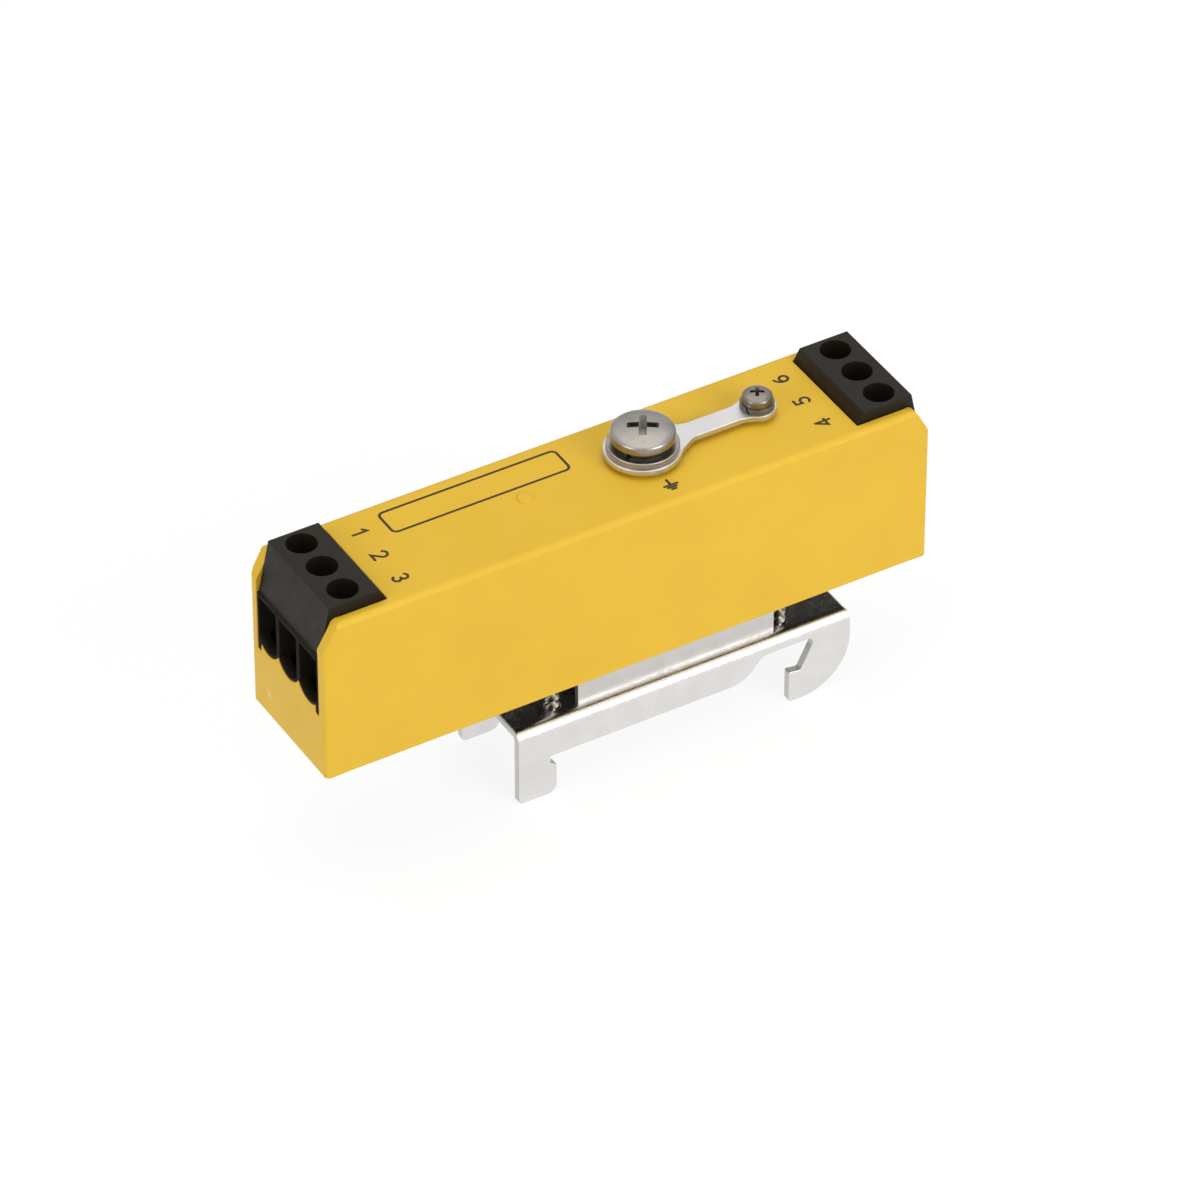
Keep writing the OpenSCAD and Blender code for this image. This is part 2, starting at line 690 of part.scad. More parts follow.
// Machine screw with a domed head and a cross recess, its head standing on z
module top_screw(x, z, d, length, head_d, head_h, dome) {
  color(steel) translate([x, row_y, z]) difference() {
    union() {
      domed_head(head_d, head_h, dome);
      translate([0, 0, -length]) cylinder(h = length + head_h / 2, d = d);
    }
    translate([0, 0, head_h]) rotate([0, 0, recess_turn])
      cross_recess(head_d * 0.56, head_h * 0.8, head_d * 0.12);
  }
}
module ground_screw() {
  top_screw(ground_x, z_ground_head, ground_d, ground_l - thread_room,
    ground_head_d, ground_head_h, ground_dome);
}
module shield_screw() {
  top_screw(shield_x, z_shield_head, shield_d, shield_l - thread_room,
    shield_head_d, shield_head_h, shield_dome);
}

// Folded sheet saddle that keeps the foot's web clear of the housing
module saddle() {
  color(tin) difference() {
    translate([saddle_x, 0, 0]) end_cut(saddle_l) difference() {
      polygon(rounded([
        [-saddle_w / 2, foot_h, 0], [saddle_w / 2, foot_h, 0],
        [saddle_w / 2, z_under, saddle_t * 1.6], [-saddle_w / 2, z_under, saddle_t * 1.6]]));
      polygon(rounded([
        [saddle_t - saddle_w / 2, foot_h - over, 0], [saddle_w / 2 - saddle_t, foot_h - over, 0],
        [saddle_w / 2 - saddle_t, z_under - saddle_t, saddle_t * 0.6],
        [saddle_t - saddle_w / 2, z_under - saddle_t, saddle_t * 0.6]]));
    }
    translate([ground_x, row_y, foot_h]) cylinder(h = gap_h + over, d = ground_d + 2 * hole_gap);
  }
}

// One-piece folded spring-steel foot: web, two flanges, fixed hooks left, spring hooks right
module rail_foot() {
  tip_h = seat_h - lip_slot;
  hook_x = throat_x + hook_reach;
  neck_h = foot_h - neck_w;
  color(tin) difference() {
    intersection() {
      side_cut(foot_w) polygon(rounded([
        [foot_left, foot_h, 0.5], [foot_left, 0, 0.6],
        [hook_x, 0, 1.3], [hook_x, tip_h - tip_slant, edge_soft],
        [throat_x, tip_h, edge_soft / 2], [throat_x, seat_h, edge_soft],
        [tip_x - rise_from, seat_h, rise_r], [tip_x - rise_to, neck_h, neck_r],
        [foot_right - hook_top_w, neck_h, 0.9],
        [foot_right - hook_low_w, tip_h - spring_tip_drop - spring_tip_slant, edge_soft],
        [tip_x, tip_h - spring_tip_drop, edge_soft], [tip_x, 0, 0.5],
        [foot_right, 0, hook_r], [foot_right, foot_h, 0.6]]));
      translate([(foot_left + foot_right) / 2, 0, 0]) end_cut(foot_right - foot_left) difference() {
        polygon(rounded([
          [-foot_w / 2, 0, 0], [foot_w / 2, 0, 0],
          [foot_w / 2, foot_h, fold_r], [-foot_w / 2, foot_h, fold_r]]));
        polygon(rounded([
          [foot_t - foot_w / 2, -over, 0], [foot_w / 2 - foot_t, -over, 0],
          [foot_w / 2 - foot_t, foot_h - foot_t, fold_r - foot_t],
          [foot_t - foot_w / 2, foot_h - foot_t, fold_r - foot_t]]));
      }
    }
    translate([ground_x, row_y, 0]) cylinder(h = foot_h + over, d = ground_d + 2 * hole_gap);
    for (i = [1:4]) at_foot_screw(i) translate([0, 0, foot_h - foot_t - over])
      cylinder(h = foot_t + 2 * over, d = foot_screw_d + 2 * hole_gap);
  }
}

// Pan-head screw driven from below, its head against the web's underside
module screw_from_below(d, length, head_d, head_h) {
  translate([0, 0, foot_h - foot_t]) difference() {
    union() {
      cylinder(h = length, d = d);
      mirror([0, 0, 1]) soft_head(head_d, head_h, head_h * 0.5);
      translate([0, 0, -head_h / 2]) cylinder(h = head_h, d = d);
    }
    mirror([0, 0, 1]) translate([0, 0, head_h]) cross_recess(head_d * 0.56, head_h * 0.62, head_d * 0.15);
  }
}
module foot_bolt() {
  color(steel) translate([ground_x, row_y, 0]) screw_from_below(ground_d, bolt_l, bolt_head_d, bolt_head_h);
}
module foot_screw(i) {
  color(steel) at_foot_screw(i) screw_from_below(foot_screw_d, foot_screw_l, foot_head_d, foot_head_h);
}

housing();
base_cover();
circuit_board();
terminal_block(LEFT);  // left_terminal_block
terminal_block(RIGHT);  // right_terminal_block
clamp_screw(LEFT, 1);  // left_clamp_screw_1
clamp_screw(LEFT, 2);  // left_clamp_screw_2
clamp_screw(LEFT, 3);  // left_clamp_screw_3
clamp_screw(RIGHT, 1);  // right_clamp_screw_1
clamp_screw(RIGHT, 2);  // right_clamp_screw_2
clamp_screw(RIGHT, 3);  // right_clamp_screw_3
clamp_cage(LEFT, 1);  // left_clamp_cage_1
clamp_cage(LEFT, 2);  // left_clamp_cage_2
clamp_cage(LEFT, 3);  // left_clamp_cage_3
clamp_cage(RIGHT, 1);  // right_clamp_cage_1
clamp_cage(RIGHT, 2);  // right_clamp_cage_2
clamp_cage(RIGHT, 3);  // right_clamp_cage_3
contact(LEFT, 1);  // left_contact_1
contact(LEFT, 2);  // left_contact_2
contact(LEFT, 3);  // left_contact_3
contact(RIGHT, 1);  // right_contact_1
contact(RIGHT, 2);  // right_contact_2
contact(RIGHT, 3);  // right_contact_3
gas_tube();
resistor(-resistor_y);  // front_resistor
resistor(resistor_y);  // rear_resistor
diode(-diode_y);  // front_diode
diode(diode_y);  // rear_diode
ground_post();
shield_post();
shield_link();
ground_flat_washer();
ground_lock_washer();
ground_screw();
shield_lock_washer();
shield_screw();
saddle();
rail_foot();
foot_bolt();
foot_screw(1);  // foot_screw_1
foot_screw(2);  // foot_screw_2
foot_screw(3);  // foot_screw_3
foot_screw(4);  // foot_screw_4
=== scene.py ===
import math

import bmesh
import bpy
from mathutils import Matrix, Vector


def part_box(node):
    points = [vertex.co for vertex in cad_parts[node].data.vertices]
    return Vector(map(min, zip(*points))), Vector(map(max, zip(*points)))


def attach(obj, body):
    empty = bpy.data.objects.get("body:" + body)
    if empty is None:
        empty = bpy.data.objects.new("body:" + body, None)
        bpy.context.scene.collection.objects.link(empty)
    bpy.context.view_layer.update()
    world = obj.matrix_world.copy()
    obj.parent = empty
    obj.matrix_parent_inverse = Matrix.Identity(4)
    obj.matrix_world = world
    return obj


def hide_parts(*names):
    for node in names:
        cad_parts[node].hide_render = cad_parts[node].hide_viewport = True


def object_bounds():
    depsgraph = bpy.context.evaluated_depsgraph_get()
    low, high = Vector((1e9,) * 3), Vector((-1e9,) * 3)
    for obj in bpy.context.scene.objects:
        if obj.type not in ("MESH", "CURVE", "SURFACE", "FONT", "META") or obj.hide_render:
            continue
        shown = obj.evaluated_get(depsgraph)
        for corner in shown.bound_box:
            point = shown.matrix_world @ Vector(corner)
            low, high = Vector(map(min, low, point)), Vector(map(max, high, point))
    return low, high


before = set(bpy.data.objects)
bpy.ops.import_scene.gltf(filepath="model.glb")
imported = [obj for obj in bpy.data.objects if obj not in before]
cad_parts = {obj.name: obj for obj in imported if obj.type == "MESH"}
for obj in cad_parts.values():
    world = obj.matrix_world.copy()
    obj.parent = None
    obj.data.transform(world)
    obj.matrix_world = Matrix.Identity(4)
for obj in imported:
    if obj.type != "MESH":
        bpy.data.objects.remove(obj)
cad_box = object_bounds()
scene = bpy.context.scene
scene.view_settings.view_transform = "Standard"

# Camera: a long lens about a metre away, looking down on the part's near side and left end.
# Its axes were solved from the photograph's corner points, so the part fills the frame alike.
camera_place = Vector((-0.40298, -0.68417, 0.66562))
camera_right = Vector((0.86113, -0.50839, 0.0))
camera_up = Vector((0.32035, 0.54263, 0.77649))
camera_back = Vector((-0.39476, -0.66866, 0.63013))
camera_data = bpy.data.cameras.new("camera")
camera_data.sensor_width = 36
camera_data.lens = 246.575
camera_data.clip_start = 0.05
camera_data.clip_end = 20
camera = bpy.data.objects.new("camera", camera_data)
axes = Matrix((camera_right, camera_up, camera_back)).transposed().to_4x4()
camera.matrix_world = Matrix.Translation(camera_place) @ axes
scene.collection.objects.link(camera)
scene.camera = camera

# Table: a plain pale top that the foot's hooks stand on. The camera and bright metal see it near
# white, it keeps a faint shadow of the part, and from below one sees through it.
TABLE_SIZE = 4.0
TABLE_GREY = 0.90
SEEN_SHARE = 0.80
SEEN_GLOW = 1.07


def node_tools(tree):
    """Empties a node tree, and gives functions that add a node and that link two sockets."""
    tree.nodes.clear()

    def add(kind, **values):
        node = tree.nodes.new(kind)
        for key, value in values.items():
            if hasattr(node, key):
                setattr(node, key, value)
            else:
                node.inputs[key.replace("_", " ")].default_value = value
        return node

    return add, tree.links.new


def node_tree(name):
    """New material with an empty node tree, and functions that add and link its nodes."""
    material = bpy.data.materials.new(name)
    material.use_nodes = True
    return material, *node_tools(material.node_tree)


def any_of(add, link, *flags):
    """Largest of some ray flags, which is 1 where one of them is set."""
    found = flags[0]
    for flag in flags[1:]:
        larger = add("ShaderNodeMath", operation="MAXIMUM")
        link(found, larger.inputs[0])
        link(flag, larger.inputs[1])
        found = larger.outputs[0]
    return found


half = TABLE_SIZE / 2
table_mesh = bpy.data.meshes.new("table_top")
table_mesh.from_pydata(
    [(-half, -half, 0), (half, -half, 0), (half, half, 0), (-half, half, 0)], [], [(0, 1, 2, 3)])
table_top = bpy.data.objects.new("table_top", table_mesh)
scene.collection.objects.link(table_top)
table_paint, add, link = node_tree("table_paint")
paint = add("ShaderNodeBsdfDiffuse", Color=(TABLE_GREY, TABLE_GREY, TABLE_GREY, 1))
glow = add("ShaderNodeEmission", Color=(1, 1, 1, 1), Strength=SEEN_GLOW)
rays = add("ShaderNodeLightPath")
seen = any_of(add, link, rays.outputs["Is Camera Ray"], rays.outputs["Is Glossy Ray"],
              rays.outputs["Is Transmission Ray"])
share = add("ShaderNodeMath", operation="MULTIPLY")
share.inputs[1].default_value = SEEN_SHARE
mix = add("ShaderNodeMixShader")
side_hit = add("ShaderNodeNewGeometry")
open_below = add("ShaderNodeMixShader")
out = add("ShaderNodeOutputMaterial")
link(seen, share.inputs[0])
link(share.outputs[0], mix.inputs[0])
link(paint.outputs[0], mix.inputs[1])
link(glow.outputs[0], mix.inputs[2])
link(side_hit.outputs["Backfacing"], open_below.inputs[0])
link(mix.outputs[0], open_below.inputs[1])
link(add("ShaderNodeBsdfTransparent").outputs[0], open_below.inputs[2])
link(open_below.outputs[0], out.inputs["Surface"])
table_mesh.materials.append(table_paint)

# Studio: a white tent round the part, and three soft boxes. Metal sees the tent white, with a
# grey band at the height of the table's edge that gives rounded metal its form.
TENT_LIGHT = 0.48
HORIZON_GREY = 0.42
LIT_STOPS = ((0.0, 0.36), (0.85, 0.95))
MIRRORED_STOPS = ((0.0, HORIZON_GREY), (0.10, 0.62), (0.34, 0.97), (1.0, 1.0))
LAMP_AIM = Vector((0, 0, 0.025))
world = bpy.data.worlds.new("tent")
scene.world = world
world.use_nodes = True
tent_add, tent_link = node_tools(world.node_tree)


def tent_greys(height, stops):
    """Grey levels of the tent by the height that a ray looks at."""
    ramp = tent_add("ShaderNodeValToRGB")
    marks = ramp.color_ramp.elements
    while len(marks) < len(stops):
        marks.new(0.5)
    for mark, (place, grey) in zip(marks, stops):
        mark.position = place
        mark.color = (grey, grey, grey, 1)
    tent_link(height, ramp.inputs["Fac"])
    background = tent_add("ShaderNodeBackground")
    tent_link(ramp.outputs["Color"], background.inputs["Color"])
    return background


look = tent_add("ShaderNodeTexCoord")
look_split = tent_add("ShaderNodeSeparateXYZ")
tent_link(look.outputs["Generated"], look_split.inputs[0])
lit = tent_greys(look_split.outputs["Z"], LIT_STOPS)
lit.inputs["Strength"].default_value = TENT_LIGHT
mirrored = tent_greys(look_split.outputs["Z"], MIRRORED_STOPS)
white = tent_add("ShaderNodeBackground", Color=(1, 1, 1, 1))
tent_rays = tent_add("ShaderNodeLightPath")
metal_sees = any_of(tent_add, tent_link, tent_rays.outputs["Is Glossy Ray"],
                    tent_rays.outputs["Is Transmission Ray"])
to_metal = tent_add("ShaderNodeMixShader")
to_camera = tent_add("ShaderNodeMixShader")
tent_link(metal_sees, to_metal.inputs[0])
tent_link(lit.outputs[0], to_metal.inputs[1])
tent_link(mirrored.outputs[0], to_metal.inputs[2])
tent_link(tent_rays.outputs["Is Camera Ray"], to_camera.inputs[0])
tent_link(to_metal.outputs[0], to_camera.inputs[1])
tent_link(white.outputs[0], to_camera.inputs[2])
tent_link(to_camera.outputs[0], tent_add("ShaderNodeOutputWorld").inputs["Surface"])


def soft_box(name, place, size, watts):
    """Square soft box at a place, aimed at the middle of the housing."""
    light = bpy.data.lights.new(name, "AREA")
    light.shape = "SQUARE"
    light.size = size
    light.energy = watts
    lamp = bpy.data.objects.new(name, light)
    aim = LAMP_AIM - Vector(place)
    lamp.matrix_world = (
        Matrix.Translation(Vector(place)) @ aim.to_track_quat("-Z", "Y").to_matrix().to_4x4())
    scene.collection.objects.link(lamp)


soft_box("soft_box_above", (0.05, 0.10, 0.75), 0.95, 2.4)
soft_box("soft_box_front", (0.30, -0.85, 0.42), 0.60, 4.6)
soft_box("soft_box_left", (-0.85, -0.15, 0.35), 0.45, 2.2)

# Housing: one yellow moulding, open below, with the two blocks let into its ends. Its faces come
# from a finely spark-eroded tool, every edge is a little soft, and the left end bears one scuff.
MM = 0.001
WELD = 0.004
SHELL_WELD = 0.03
FLAT_ANGLE = 0.4
YELLOW = (0.830, 0.520, 0.036)
YELLOW_SHADE = (0.800, 0.492, 0.031)
SCUFF_PLACE = (-43.25, 4.96, 20.65)
SCUFF_SIZE = 1.05
SCUFF_COLOUR = (0.92, 0.86, 0.72)
SCUFF_CORE = 0.2
SMOOTHER = 0.05
ROUGHER = 0.06
END_CUTS = (3.2, 5.5)
SIDE_CUT = 1.1
BOTTOM_CUT = 1.5
TOP_CUTS = (5.0, 1.4)


def object_noise(add, link, per_mm, detail=2.0, stretch=(1, 1, 1)):
    """Noise fixed to the piece, with so many lumps in a millimetre."""
    place = add("ShaderNodeTexCoord")
    scale = add("ShaderNodeMapping")
    scale.inputs["Scale"].default_value = [s * per_mm / MM for s in stretch]
    noise = add("ShaderNodeTexNoise", Scale=1.0, Detail=detail)
    link(place.outputs["Object"], scale.inputs["Vector"])
    link(scale.outputs[0], noise.inputs["Vector"])
    return noise.outputs[0]


def spread(add, link, source, low, high, from_low=0.3, from_high=0.7):
    """Number that runs from low to high as its source does."""
    node = add("ShaderNodeMapRange")
    node.inputs["From Min"].default_value = from_low
    node.inputs["From Max"].default_value = from_high
    node.inputs["To Min"].default_value = low
    node.inputs["To Max"].default_value = high
    link(source, node.inputs["Value"])
    return node.outputs[0]


def tint(add, link, factor, first, second):
    """Colour that goes from the first to the second by a factor. Either may be another node's."""
    node = add("ShaderNodeMix", data_type="RGBA")
    link(factor, node.inputs[0])
    for socket, colour in ((node.inputs[6], first), (node.inputs[7], second)):
        if isinstance(colour, tuple):
            socket.default_value = (*colour, 1)
        else:
            link(colour, socket)
    return node.outputs[2]


def near(add, link, place, radius):
    """Factor of 1 at a place on the piece that fades to 0 at a radius, all in millimetres."""
    spot = add("ShaderNodeTexCoord")
    distance = add("ShaderNodeVectorMath", operation="DISTANCE")
    distance.inputs[1].default_value = [p * MM for p in place]
    link(spot.outputs["Object"], distance.inputs[0])
    return spread(add, link, distance.outputs["Value"], 1, 0, SCUFF_CORE * radius * MM, radius * MM)


def bumped(add, link, shader, layers):
    """Lays layers on a shader, each a source, a strength and a height in millimetres."""
    normal = None
    for source, strength, size in layers:
        bump = add("ShaderNodeBump", Strength=strength, Distance=size * MM)
        link(source, bump.inputs["Height"])
        if normal:
            link(normal, bump.inputs["Normal"])
        normal = bump.outputs[0]
    link(normal, shader.inputs["Normal"])


def moulded(name, colour, shade, rough, grain_per_mm=4.0, specular=0.5, scuff=None):
    """Moulded plastic with faint clouds, grain, slow waves, and one pale scuff if asked."""
    material, add, link = node_tree(name)
    shader = add("ShaderNodeBsdfPrincipled")
    shader.inputs["Specular IOR Level"].default_value = specular
    link(shader.outputs[0], add("ShaderNodeOutputMaterial").inputs["Surface"])
    clouds = spread(add, link, object_noise(add, link, per_mm=0.09, detail=4.0), 0, 1)
    colours = tint(add, link, clouds, colour, shade)
    if scuff:
        torn = add("ShaderNodeMath", operation="MULTIPLY")
        ragged = spread(add, link, object_noise(add, link, per_mm=3.0, detail=4.0),
                        low=0, high=0.6, from_low=0.45, from_high=0.66)
        link(near(add, link, *scuff), torn.inputs[0])
        link(ragged, torn.inputs[1])
        colours = tint(add, link, torn.outputs[0], colours, SCUFF_COLOUR)
    link(colours, shader.inputs["Base Color"])
    gloss = spread(add, link, object_noise(add, link, per_mm=0.5, detail=5.0),
                   rough - SMOOTHER, rough + ROUGHER)
    link(gloss, shader.inputs["Roughness"])
    waves = object_noise(add, link, per_mm=0.12, detail=1.0)
    grain = object_noise(add, link, grain_per_mm)
    bumped(add, link, shader, [(waves, 0.2, 0.05), (grain, 0.25, 0.010)])
    return material


def box_mm(node):
    """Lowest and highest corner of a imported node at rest, in millimetres."""
    return [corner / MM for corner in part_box(node)]


def cad_shape(node, weld=WELD):
    """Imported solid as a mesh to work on, in millimetres, welded and with its flat faces joined."""
    shape = bmesh.new()
    shape.from_mesh(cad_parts[node].data)
    bmesh.ops.scale(shape, vec=(1 / MM,) * 3, verts=shape.verts)
    bmesh.ops.remove_doubles(shape, verts=shape.verts, dist=weld)
    bmesh.ops.dissolve_limit(
        shape, angle_limit=math.radians(FLAT_ANGLE), verts=shape.verts, edges=shape.edges)
    return shape


def add_piece(shape, name, materials, body, node=None,
              edge=0.0, sharp=30, steps=2, least=0):
    """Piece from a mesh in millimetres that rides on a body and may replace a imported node.

    Edges that turn by more than sharp degrees and are at least as long as least are broken to a
    radius of edge.
    """
    for face in shape.faces:
        face.smooth = True
    weights = shape.edges.layers.float.new("bevel_weight_edge")
    for line in shape.edges:
        soft = len(line.link_faces) == 2 and line.calc_face_angle() < math.radians(sharp)
        broken = edge and not soft and line.calc_length() >= least
        line[weights] = 1.0 if broken else 0.0
        line.smooth = bool(soft or broken)
    bmesh.ops.scale(shape, vec=(MM, MM, MM), verts=shape.verts)
    mesh = bpy.data.meshes.new(name)
    shape.to_mesh(mesh)
    shape.free()
    for material in materials:
        mesh.materials.append(material)
    piece = bpy.data.objects.new(name, mesh)
    scene.collection.objects.link(piece)
    if edge:
        bevel = piece.modifiers.new("broken_edges", "BEVEL")
        bevel.width = edge * MM
        bevel.segments = steps
        bevel.limit_method = "WEIGHT"
        bevel.use_clamp_overlap = False
    shading = piece.modifiers.new("even_shading", "WEIGHTED_NORMAL")
    shading.keep_sharp = True
    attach(piece, body)
    if node:
        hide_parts(node)


def cut_across(shape, axis, places):
    """Adds rows of edges across an axis, so that shading at an end stays at that end."""
    way = [1 if i == axis else 0 for i in range(3)]
    for place in places:
        bmesh.ops.bisect_plane(shape, geom=shape.verts[:] + shape.edges[:] + shape.faces[:],
                               plane_co=[w * place for w in way], plane_no=way)


yellow_moulding = moulded("yellow_moulding", YELLOW, YELLOW_SHADE, rough=0.47,
                          grain_per_mm=3.4, specular=0.30, scuff=(SCUFF_PLACE, SCUFF_SIZE))
shell = cad_shape("housing", SHELL_WELD)
shell_low, shell_high = box_mm("housing")
cut_across(shell, 0, [shell_low.x + inset for inset in END_CUTS] + [0])
cut_across(shell, 0, [shell_high.x - inset for inset in reversed(END_CUTS)])
cut_across(shell, 1, (shell_low.y + SIDE_CUT, 0, shell_high.y - SIDE_CUT))
cut_across(shell, 2, [shell_low.z + BOTTOM_CUT] + [shell_high.z - drop for drop in TOP_CUTS])
add_piece(shell, "housing_shell", [yellow_moulding], "module", "housing",
          edge=0.15, steps=3, least=0.25)

# Marking on the top: pad-printed in dark ink. It has plain numbers beside the six terminals, an
# earth sign at the ground screw, and an empty field for the circuit's number.
INK_T = 0.012
INK_SUNK = 0.02
INK_STEP = 0.002
INK_LINE = 0.36
DIGIT_H = 2.0
DIGIT_W = 0.6
NUMBER_X = 31.1
PITCH = 5.08
BLOCK_PROUD = 1.6
END_STEPS = (0.35, 0.7, 0.94)
LEAST_MITRE = 0.35
SAME_POINT = 1e-6
housing_top = round(box_mm("left_terminal_block")[1].z - BLOCK_PROUD, 3)
print_ink = moulded("print_ink", (0.030, 0.018, 0.006), (0.050, 0.030, 0.010), rough=0.55,
                    grain_per_mm=6.0, specular=0.3)


def arc(middle_x, middle_y, radius, first, last, steps=9):
    """Points along an arc from one angle to another, in degrees."""
    angles = [math.radians(first + (last - first) * i / steps) for i in range(steps + 1)]
    return [(middle_x + radius * math.cos(a), middle_y + radius * math.sin(a)) for a in angles]


STROKES = {
    1: [[(0.10, 0.78), (0.36, 1.0), (0.36, 0.0)]],
    2: [arc(0.30, 0.71, 0.28, 165, -38) + [(0.04, 0.0), (0.60, 0.0)]],
    3: [arc(0.28, 0.755, 0.24, 150, -90), arc(0.28, 0.26, 0.26, 90, -150)],
    4: [[(0.46, 0.0), (0.46, 1.0)], [(0.46, 1.0), (0.02, 0.30), (0.64, 0.30)]],
    5: [[(0.54, 1.0), (0.14, 1.0), (0.10, 0.57)] + arc(0.28, 0.31, 0.30, 118, -140)],
    6: [arc(0.62, 0.36, 0.60, 172, 108), arc(0.30, 0.29, 0.28, 180, 540, 20)],
}


def ink_line(shape, points, lift, closed=False):
    """Adds a flat line of ink through some points, lifted above the housing, with round ends."""
    path = [Vector(p) for p in points]
    count = len(path)
    sides = []
    for i, here in enumerate(path):
        before = path[i - 1] if closed or i else None
        after = path[(i + 1) % count] if closed or i < count - 1 else None
        way_in = (here - before).normalized() if before else (after - here).normalized()
        way_out = (after - here).normalized() if after else way_in
        across = (way_in + way_out).normalized().orthogonal()
        reach = INK_LINE / 2 / max(LEAST_MITRE, across.dot(way_in.orthogonal()))
        sides.append((here + across * reach, here - across * reach))
    if not closed:
        for end, inward in ((0, path[0] - path[1]), (-1, path[-1] - path[-2])):
            turn = inward.normalized()
            for step in END_STEPS:
                half_width = turn.orthogonal() * INK_LINE / 2 * math.sqrt(1 - step * step)
                centre = path[end] + turn * INK_LINE / 2 * step
                pair = (centre + half_width, centre - half_width)
                if end == 0:
                    sides.insert(0, pair[::-1])
                else:
                    sides.append(pair)
    rows = [[shape.verts.new((*p, housing_top + lift)) for p in pair] for pair in sides]
    pairs = list(zip(rows, rows[1:])) + ([(rows[-1], rows[0])] if closed else [])
    for a, b in pairs:
        shape.faces.new((a[0], a[1], b[1], b[0]))


def strokes(number):
    """Lines of a digit, each marked as closed where it ends at its own start."""
    lines = []
    for points in STROKES[number]:
        closed = math.dist(points[0], points[-1]) < SAME_POINT
        lines.append((points[:-1] if closed else points, closed))
    return lines


def print_piece(name, lines, place=(0, 0), turn=0, size=1.0):
    """Thin slab of ink for some lines, drawn at a size, turned in degrees and set at a place."""
    shape = bmesh.new()
    spin = Matrix.Rotation(math.radians(turn), 2)
    for i, (points, closed) in enumerate(lines):
        ink_line(shape, [spin @ (Vector(p) * size) + Vector(place) for p in points],
                 INK_T + i * INK_STEP, closed=closed)
    for face in shape.faces:
        if face.normal.z < 0:
            face.normal_flip()
    walls = bmesh.ops.extrude_face_region(shape, geom=shape.faces[:])
    sunk = [v for v in walls["geom"] if isinstance(v, bmesh.types.BMVert)]
    bmesh.ops.translate(shape, vec=(0, 0, -INK_T - INK_SUNK), verts=sunk)
    bmesh.ops.recalc_face_normals(shape, faces=shape.faces)
    add_piece(shape, name, [print_ink], "module")


for number, hand, row in ((1, -1, 1), (2, -1, 0), (3, -1, -1), (4, 1, -1), (5, 1, 0), (6, 1, 1)):
    print_piece(f"number_{number}", strokes(number),
                (hand * NUMBER_X, row * PITCH - hand * DIGIT_W * DIGIT_H / 2), hand * 90, DIGIT_H)

EARTH_Y = -6.15
EARTH_LINES = [((0, 1.1), (0, 0)), ((-0.9, 0), (0.9, 0)), ((-0.58, -0.42), (0.58, -0.42)),
               ((-0.26, -0.84), (0.26, -0.84))]
ground_low, ground_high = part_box("ground_screw")
ground_spot = (ground_low + ground_high) / 2 / MM
print_piece("earth_sign", [(line, False) for line in EARTH_LINES], (ground_spot.x, EARTH_Y))

FIELD_LEFT, FIELD_RIGHT, FIELD_LOW, FIELD_HIGH = -26.5, -1.5, 2.9, 7.1
FIELD_R = 0.7
FIELD_CORNERS = ((FIELD_RIGHT - FIELD_R, FIELD_HIGH - FIELD_R, 90),
                 (FIELD_RIGHT - FIELD_R, FIELD_LOW + FIELD_R, 0),
                 (FIELD_LEFT + FIELD_R, FIELD_LOW + FIELD_R, -90),
                 (FIELD_LEFT + FIELD_R, FIELD_HIGH - FIELD_R, 180))
field_outline = [point for x, y, first in FIELD_CORNERS
                 for point in arc(x, y, FIELD_R, first, first - 90, 5)]
print_piece("marking_field", [(field_outline, True)])

# Base cover: flat moulded plate of black plastic, with a boss for each foot screw. It is bonded
# into the bottom of the housing.
BLACK = (0.0115, 0.0086, 0.0046)
BLACK_SHADE = (0.0150, 0.0115, 0.0066)
black_moulding = moulded("black_moulding", BLACK, BLACK_SHADE, rough=0.46,
                         grain_per_mm=4.5, specular=0.18)
add_piece(cad_shape("base_cover"), "bottom_cover", [black_moulding], "module",
          "base_cover", edge=0.1)

# Terminal blocks: black glass-filled mouldings, one at each end, proud of the housing's top. Small
# tabs fill the slits in the housing's end wall. The rim round the wire entries is duller than the
# rest, and painted darker as painted shade. Each tab goes from a near and low to a far and high
# corner, as Y and Z.
SLIT_TABS = (((6.88, 26.28), (7.62, 27.90)), ((7.26, 27.80), (7.62, 28.60)))
SLIT_BACK = 1.3
RIM_FACING = 0.9
RIM_DEPTH = 0.05
# Painted shade: the rim round the wire entries gets a darker black than the blocks' own.
RIM_PAINTED_SHADE_BLACK = (0.0070, 0.0052, 0.0030)
RIM_PAINTED_SHADE_CLOUD = (0.0095, 0.0072, 0.0045)
rim_painted_shade = moulded("rim_painted_shade", RIM_PAINTED_SHADE_BLACK, RIM_PAINTED_SHADE_CLOUD, rough=0.62,
                       grain_per_mm=4.5, specular=0.06)


def add_box(shape, low, high):
    """Adds a closed box between two corners."""
    middle, size = (Vector(low) + Vector(high)) / 2, Vector(high) - Vector(low)
    place = Matrix.Translation(middle) @ Matrix.Diagonal((*(abs(s) for s in size), 1))
    bmesh.ops.create_cube(shape, size=1, matrix=place)


for side in ("left", "right"):
    block = cad_shape(f"{side}_terminal_block")
    low, high = box_mm(f"{side}_terminal_block")
    front, inward = (low.x, 1) if side == "left" else (high.x, -1)
    for hand in (-1, 1):
        for (near_y, low_z), (far_y, high_z) in SLIT_TABS:
            add_box(block, (front, hand * near_y, low_z),
                    (front + inward * SLIT_BACK, hand * far_y, high_z))
    for face in block.faces:
        depth = abs(face.calc_center_median().x - front)
        # Faces of the rim at the block's front take the painted shade.
        is_painted_shade_rim = face.normal.x * inward < -RIM_FACING and depth < RIM_DEPTH
        face.material_index = 1 if is_painted_shade_rim else 0
    add_piece(block, f"{side}_block", [black_moulding, rim_painted_shade], "module",
              f"{side}_terminal_block", edge=0.06)

